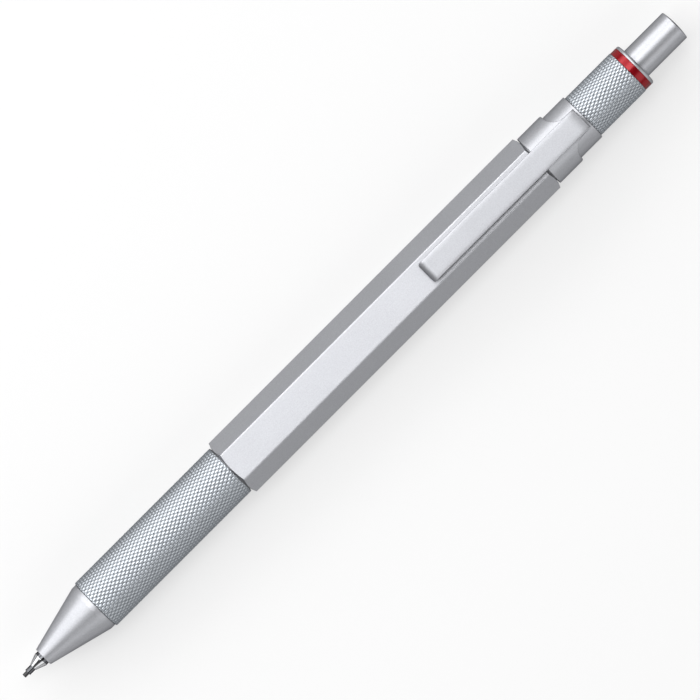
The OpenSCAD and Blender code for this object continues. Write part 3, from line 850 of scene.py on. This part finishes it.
def collar_outline(angle, kind):
    """The collar's outline at an angle from the top, where it cuts the notch, boss, flare or ring."""
    off = collar_radius * abs(math.sin(angle))
    off_narrow = math.asin(min(1, off / narrow_radius))
    floor_radius = narrow_radius
    edge = clip_end
    foot = clip_end
    rounding = boss_edge
    foot_angle = off_narrow
    if kind == "notch":
        edge = notch_front
        foot = notch_front
        foot_angle = math.atan2(off, notch_floor)
        floor_radius = math.hypot(off, notch_floor)
    elif kind == "flare":
        rise = math.sqrt(max(0, boss_flare ** 2 - (flare_reach - off) ** 2))
        lean = boss_draft / boss_flare
        edge = collar_step + boss_flare - rise
        foot = edge + lean * rise
        level = (off - boss_half) / boss_flare
        rounding = boss_edge + (step_rounding - boss_edge) * level ** 2
        off_foot = math.asin(min(1, (off + lean * (flare_reach - off)) / narrow_radius))
        foot_angle = abs(angle) + (off_foot - abs(angle)) * (1 - level) ** 2
        off_narrow = foot_angle
    elif kind == "ring":
        edge = collar_step
        foot = collar_step
        rounding = step_rounding
        foot_angle = abs(angle)
        off_narrow = abs(angle)
    foot_angle = math.copysign(foot_angle, angle)
    off_narrow = math.copysign(off_narrow, angle)
    return rounded([
        (*around_axis(angle, collar_low.x, collar_spigot_radius), 0),
        (*around_axis(angle, barrel_high.x, collar_spigot_radius), 0),
        (*around_axis(angle, barrel_high.x, groove_radius), 0),
        (*around_axis(angle, collar_front, groove_radius), 0),
        (*around_axis(angle, collar_front, collar_radius), collar_edge),
        (*around_axis(angle, edge, collar_radius), rounding),
        (*around_axis(foot_angle, foot, floor_radius), 0),
        (*around_axis(foot_angle, notch_rear, floor_radius), 0),
        (*around_axis(off_narrow, notch_rear, narrow_radius), notch_rear_edge),
        (*around_axis(off_narrow, collar_high.x, narrow_radius), narrow_edge),
        (*around_axis(angle, collar_high.x, rear_spigot_radius + fit_gap), 0),
        (*around_axis(angle, rear_low.x - stop_gap, rear_spigot_radius + fit_gap), 0),
        (*around_axis(angle, rear_low.x - stop_gap, carriage_way), 0),
        (*around_axis(angle, collar_low.x, carriage_way), 0),
    ])


notch_angle = math.asin(notch_half / collar_radius)
boss_angle = math.asin(boss_half / collar_radius)
flare_angle = math.asin(flare_reach / collar_radius)
half_collar = []
for step in range(notch_steps + 1):
    half_collar.append((notch_angle * step / notch_steps, "notch"))
half_collar += [(notch_angle, "boss"), (boss_angle, "boss")]
for step in range(flare_steps + 1):
    off = boss_half + boss_flare * (step / flare_steps) ** 2
    half_collar.append((math.asin(off / collar_radius), "flare"))
for step in range(1, ring_steps // 2):
    half_collar.append((flare_angle + (math.pi - flare_angle) * 2 * step / ring_steps, "ring"))
half_collar.append((math.pi, "ring"))
other_half = [(-angle, kind) for angle, kind in reversed(half_collar[1:-1])]
satin_collar = joined("satin_collar", [
    collar_outline(angle, kind) for angle, kind in half_collar + other_half
])
dress(satin_collar, satin_plate)
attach(satin_collar, "root")
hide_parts("clip_collar")


# Rear sleeve
# Knurled and plated like the grip, with a plain spigot screwed into the collar.
# The bezel's spigot goes into its other end.

rear_radius = (rear_high.y - rear_low.y) / 2
bezel_low, bezel_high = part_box("end_bezel")
bezel_spigot_wall = 0.5 * mm
bezel_spigot = button_way + bezel_spigot_wall
button_stop = button_low.x - button_travel - stop_gap
rear_knurl_count = 40
rear_knurl_pitch = 1.134 * mm
knurled_rear = knurled(
    "knurled_rear", collar_high.x, rear_high.x, rear_radius, rear_knurl_count, rear_knurl_pitch, [
        (rear_high.x, bezel_spigot + fit_gap),
        (bezel_low.x, bezel_spigot + fit_gap),
        (bezel_low.x, button_way),
        (button_stop, button_way),
        (button_stop, carriage_way),
        (rear_low.x, carriage_way),
        (rear_low.x, rear_spigot_radius),
        (collar_high.x, rear_spigot_radius),
    ]
)
dress(knurled_rear, knurled_plate)
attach(knurled_rear, "root")
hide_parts("rear_sleeve")


# Colour ring
# A turned metal ring, lacquered in deep red.
# It is slipped over the bezel's spigot, and held between the rear sleeve and the bezel's lip.

colour_low, colour_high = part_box("colour_ring")
colour_radius = (colour_high.y - colour_low.y) / 2
colour_edge = 0.08 * mm

# Red lacquer with fine metal in it: deep red with a soft metal sheen, under a clear glossy film.
red_lacquer, shader, place = new_material("red_metallic_lacquer", {
    "Metallic": 0.6, "Roughness": 0.3, "Specular Tint": linear("#280404"), "Specular IOR Level": 0.0,
    "Coat Weight": 0.3, "Coat Roughness": 0.15, "Coat IOR": 1.6,
})
lacquer_cloud = 0.6 * mm
clouds = add(
    red_lacquer, "ShaderNodeTexNoise", {"Scale": 1 / lacquer_cloud, "Detail": 2}, {"Vector": place}
).outputs["Fac"]
tone = add(
    red_lacquer, "ShaderNodeMix",
    {"data_type": "RGBA", 6: linear("#760912"), 7: linear("#820e18")}, {"Factor": clouds}
)
red_lacquer.node_tree.links.new(tone.outputs[2], shader.inputs["Base Color"])

red_ring = turned("red_ring", [
    (colour_low.x, colour_radius, colour_edge),
    (colour_high.x, colour_radius, colour_edge),
    (colour_high.x, bezel_spigot + fit_gap, 0),
    (colour_low.x, bezel_spigot + fit_gap, 0),
], steps=128)
dress(red_ring, red_lacquer)
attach(red_ring, "root")
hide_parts("colour_ring")


# End bezel
# A turned and plated ring that closes the rear sleeve and guides the button.
# Its lip is rounded over and holds the red ring in place.

lip_radius = (bezel_high.y - bezel_low.y) / 2
bezel_spigot_edge = 0.1 * mm
bezel_mouth_edge = 0.08 * mm
# Corners of the lip: place along the axis, drop below its full radius, rounding.
lip_corners = [
    (colour_high.x, 0.05 * mm, 0.03 * mm),
    (colour_high.x + 0.12 * mm, 0, 0.08 * mm),
    (bezel_high.x - 0.22 * mm, 0.03 * mm, 0.15 * mm),
    (bezel_high.x - 0.04 * mm, 0.2 * mm, 0.12 * mm),
    (bezel_high.x, 0.45 * mm, 0.15 * mm),
]
satin_bezel = turned("satin_bezel", [
    (bezel_low.x, bezel_spigot, bezel_spigot_edge),
    (colour_high.x, bezel_spigot, 0),
] + [(place, lip_radius - drop, rounding) for place, drop, rounding in lip_corners] + [
    (bezel_high.x, button_way, bezel_mouth_edge),
    (bezel_low.x, button_way, 0),
], steps=128)
dress(satin_bezel, satin_plate)
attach(satin_bezel, "root")
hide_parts("end_bezel")


# Eraser and its ferrule
# The ferrule is a thin drawn aluminium cup pressed on the end of the lead tube.
# The eraser is a short moulded plug of white vinyl. Both show when the button is pulled off.

# Drawn aluminium: bright, with fine lengthwise lines from the draw.
drawn_aluminium, shader, place = new_material("drawn_aluminium", {
    "Base Color": linear("#c6c7c9"), "Metallic": 1.0,
})
draw_line_width = 0.1 * mm
draw_line_length = 5 * mm
stretched = add(
    drawn_aluminium, "ShaderNodeMapping",
    {"Scale": (1 / draw_line_length, 1 / draw_line_width, 1 / draw_line_width)}, {"Vector": place}
)
lines = add(
    drawn_aluminium, "ShaderNodeTexNoise", {"Scale": 1, "Detail": 3},
    {"Vector": stretched.outputs["Vector"]}
).outputs["Fac"]
gloss = add(drawn_aluminium, "ShaderNodeMapRange", {"To Min": 0.22, "To Max": 0.4}, {"Value": lines})
drawn_aluminium.node_tree.links.new(gloss.outputs["Result"], shader.inputs["Roughness"])
dress(nodes["eraser_holder"], drawn_aluminium)

# Vinyl, moulded: chalky white and dull, with a fine powdery grain.
white_vinyl, shader, place = new_material("moulded_white_vinyl", {
    "Roughness": 0.7, "IOR": 1.52, "Subsurface Weight": 0.1, "Subsurface Scale": 0.5 * mm,
})
vinyl_grain = 0.25 * mm
vinyl_grain_depth = 0.01 * mm
grain = add(
    white_vinyl, "ShaderNodeTexNoise", {"Scale": 1 / vinyl_grain, "Detail": 3}, {"Vector": place}
).outputs["Fac"]
tone = add(
    white_vinyl, "ShaderNodeMix",
    {"data_type": "RGBA", 6: linear("#d2d2ce"), 7: linear("#deded9")}, {"Factor": grain}
)
bump = add(
    white_vinyl, "ShaderNodeBump", {"Strength": 0.5, "Distance": vinyl_grain_depth}, {"Height": grain}
)
white_vinyl.node_tree.links.new(tone.outputs[2], shader.inputs["Base Color"])
white_vinyl.node_tree.links.new(bump.outputs["Normal"], shader.inputs["Normal"])
dress(nodes["eraser"], white_vinyl)


# Push button
# A turned aluminium cap over the eraser, satin finished, with a slightly domed end.
# It is held on the ferrule by friction and passes through the bezel.

button_wall = 0.4 * mm
button_end_thickness = 0.9 * mm
button_dome = 0.25 * mm
button_edge = 0.15 * mm
button_mouth_edge = 0.06 * mm
button_floor_edge = 0.1 * mm
dome_steps = 6
button_bore = button_radius - button_wall
button_floor = button_high.x - button_dome - button_end_thickness
dome_radius = (button_radius ** 2 + button_dome ** 2) / (2 * button_dome)
dome_centre = button_high.x - dome_radius
dome_reach = math.asin(button_radius / dome_radius)
dome = [
    (dome_centre + dome_radius * math.cos(a), dome_radius * math.sin(a), 0)
    for a in (dome_reach * (1 - step / dome_steps) for step in range(1, dome_steps + 1))
]

# Satin button: as pale as the clip but a little glossier, with narrower highlights along it.
satin_button_metal = blasted_metal("blasted_button_aluminium", "#8f9094", "#aeafb3", 0.44)
satin_button = turned("satin_button", [
    (button_low.x, button_radius, button_mouth_edge),
    (button_high.x - button_dome, button_radius, button_edge),
] + dome + [
    (button_floor, 0, 0),
    (button_floor, button_bore, button_floor_edge),
    (button_low.x, button_bore, button_mouth_edge),
], steps=128)
dress(satin_button, satin_button_metal)
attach(satin_button, "cap")
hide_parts("push_button")


# Table
# A plain, matt, white board that the pencil lies on.
# The part of it that glows is seen by the camera and in the metal only, and lights nothing.

table_size = 6.0
table_mesh = bpy.data.meshes.new("table")
half = table_size / 2
table_mesh.from_pydata(
    [(-half, -half, 0), (half, -half, 0), (half, half, 0), (-half, half, 0)], [], [(0, 1, 2, 3)]
)
table = bpy.data.objects.new("table", table_mesh)
bpy.context.scene.collection.objects.link(table)
table_glow = 0.6

# Matt board: an even pale grey with no sheen. Its glow keeps it nearly white and its shadows light.
matt_table, shader, _ = new_material("matt_white_board", {
    "Roughness": 0.9, "Specular IOR Level": 0.0, "Base Color": linear("#c3c3c3"),
})
ray = add(matt_table, "ShaderNodeLightPath", {}).outputs
seen = ray["Is Camera Ray"]
for kind in ("Is Glossy Ray", "Is Transmission Ray"):
    seen = add(
        matt_table, "ShaderNodeMath", {"operation": "MAXIMUM"}, {0: seen, 1: ray[kind]}
    ).outputs["Value"]
share = add(matt_table, "ShaderNodeMath", {"operation": "MULTIPLY", 1: table_glow}, {0: seen})
glow = add(matt_table, "ShaderNodeEmission", {"Color": linear("#ffffff"), "Strength": 1.0})
lit = add(
    matt_table, "ShaderNodeMixShader", {},
    {0: share.outputs["Value"], 1: shader.outputs["BSDF"], 2: glow.outputs["Emission"]}
)
surface = next(n for n in matt_table.node_tree.nodes if n.type == "OUTPUT_MATERIAL").inputs["Surface"]
matt_table.node_tree.links.new(lit.outputs["Shader"], surface)
dress(table, matt_table)


# Light
# A long softbox on the far side of the pencil, with a brighter band along its middle, a shorter and
# stronger one nearly overhead, a weaker one on the near side, and a dim room, which is lit along its
# walls and dark overhead.

wall_light = 0.4
ceiling_light = 0.02
world = bpy.data.worlds.new("dim_room")
world.use_nodes = True
world.node_tree.nodes.clear()
direction = add(world, "ShaderNodeTexCoord", {}).outputs["Generated"]
upward = add(world, "ShaderNodeSeparateXYZ", {}, {"Vector": direction}).outputs["Z"]
room_light = add(
    world, "ShaderNodeMapRange", {"To Min": wall_light, "To Max": ceiling_light}, {"Value": upward}
)
background = add(world, "ShaderNodeBackground", {}, {"Strength": room_light.outputs["Result"]})
background.inputs["Color"].default_value = (1, 1, 1, 1)
add(world, "ShaderNodeOutputWorld", {}, {"Surface": background.outputs["Background"]})
bpy.context.scene.world = world


def softbox(name, tilt, distance, along, length, width, brightness):
    """An area lamp tilted from overhead about the pencil's axis, and its brightness as it would show."""
    lamp = bpy.data.lights.new(name, "AREA")
    lamp.shape = "RECTANGLE"
    lamp.size = length
    lamp.size_y = width
    lamp.energy = math.pi * length * width * brightness
    box = bpy.data.objects.new(name, lamp)
    box.rotation_euler = (math.radians(tilt), 0, 0)
    outward = Vector((0, -math.sin(math.radians(tilt)), math.cos(math.radians(tilt))))
    box.location = outward * distance + Vector((along, 0, 0))
    box.visible_camera = False
    bpy.context.scene.collection.objects.link(box)


softbox(
    "key_softbox", tilt=-50, distance=0.6, along=-0.15, length=1.5, width=0.56, brightness=2.2
)
softbox(
    "key_hot_middle", tilt=-56, distance=0.6, along=-0.15, length=1.5, width=0.168, brightness=2.2
)
softbox(
    "top_softbox", tilt=-12.5, distance=0.6, along=-0.115, length=0.83, width=0.266, brightness=5.0
)
softbox("fill_softbox", tilt=55, distance=0.7, along=0, length=1.6, width=0.5, brightness=1.5)


# Camera
# Straight above the pencil and far from it, with a long lens.
# It is turned so that the pencil lies across the picture from corner to corner.

camera_distance = 1.44
picture_width = 106.26 * mm
picture_turn = -45.0177
camera_data = bpy.data.cameras.new("camera")
camera_data.sensor_width = 36
camera_data.lens = camera_data.sensor_width * camera_distance / picture_width
camera = bpy.data.objects.new("camera", camera_data)
camera.location = (0, 0, axis_height + camera_distance)
camera.rotation_euler = (0, 0, math.radians(picture_turn))
bpy.context.scene.collection.objects.link(camera)
bpy.context.scene.camera = camera
bpy.context.scene.view_settings.view_transform = "Standard"
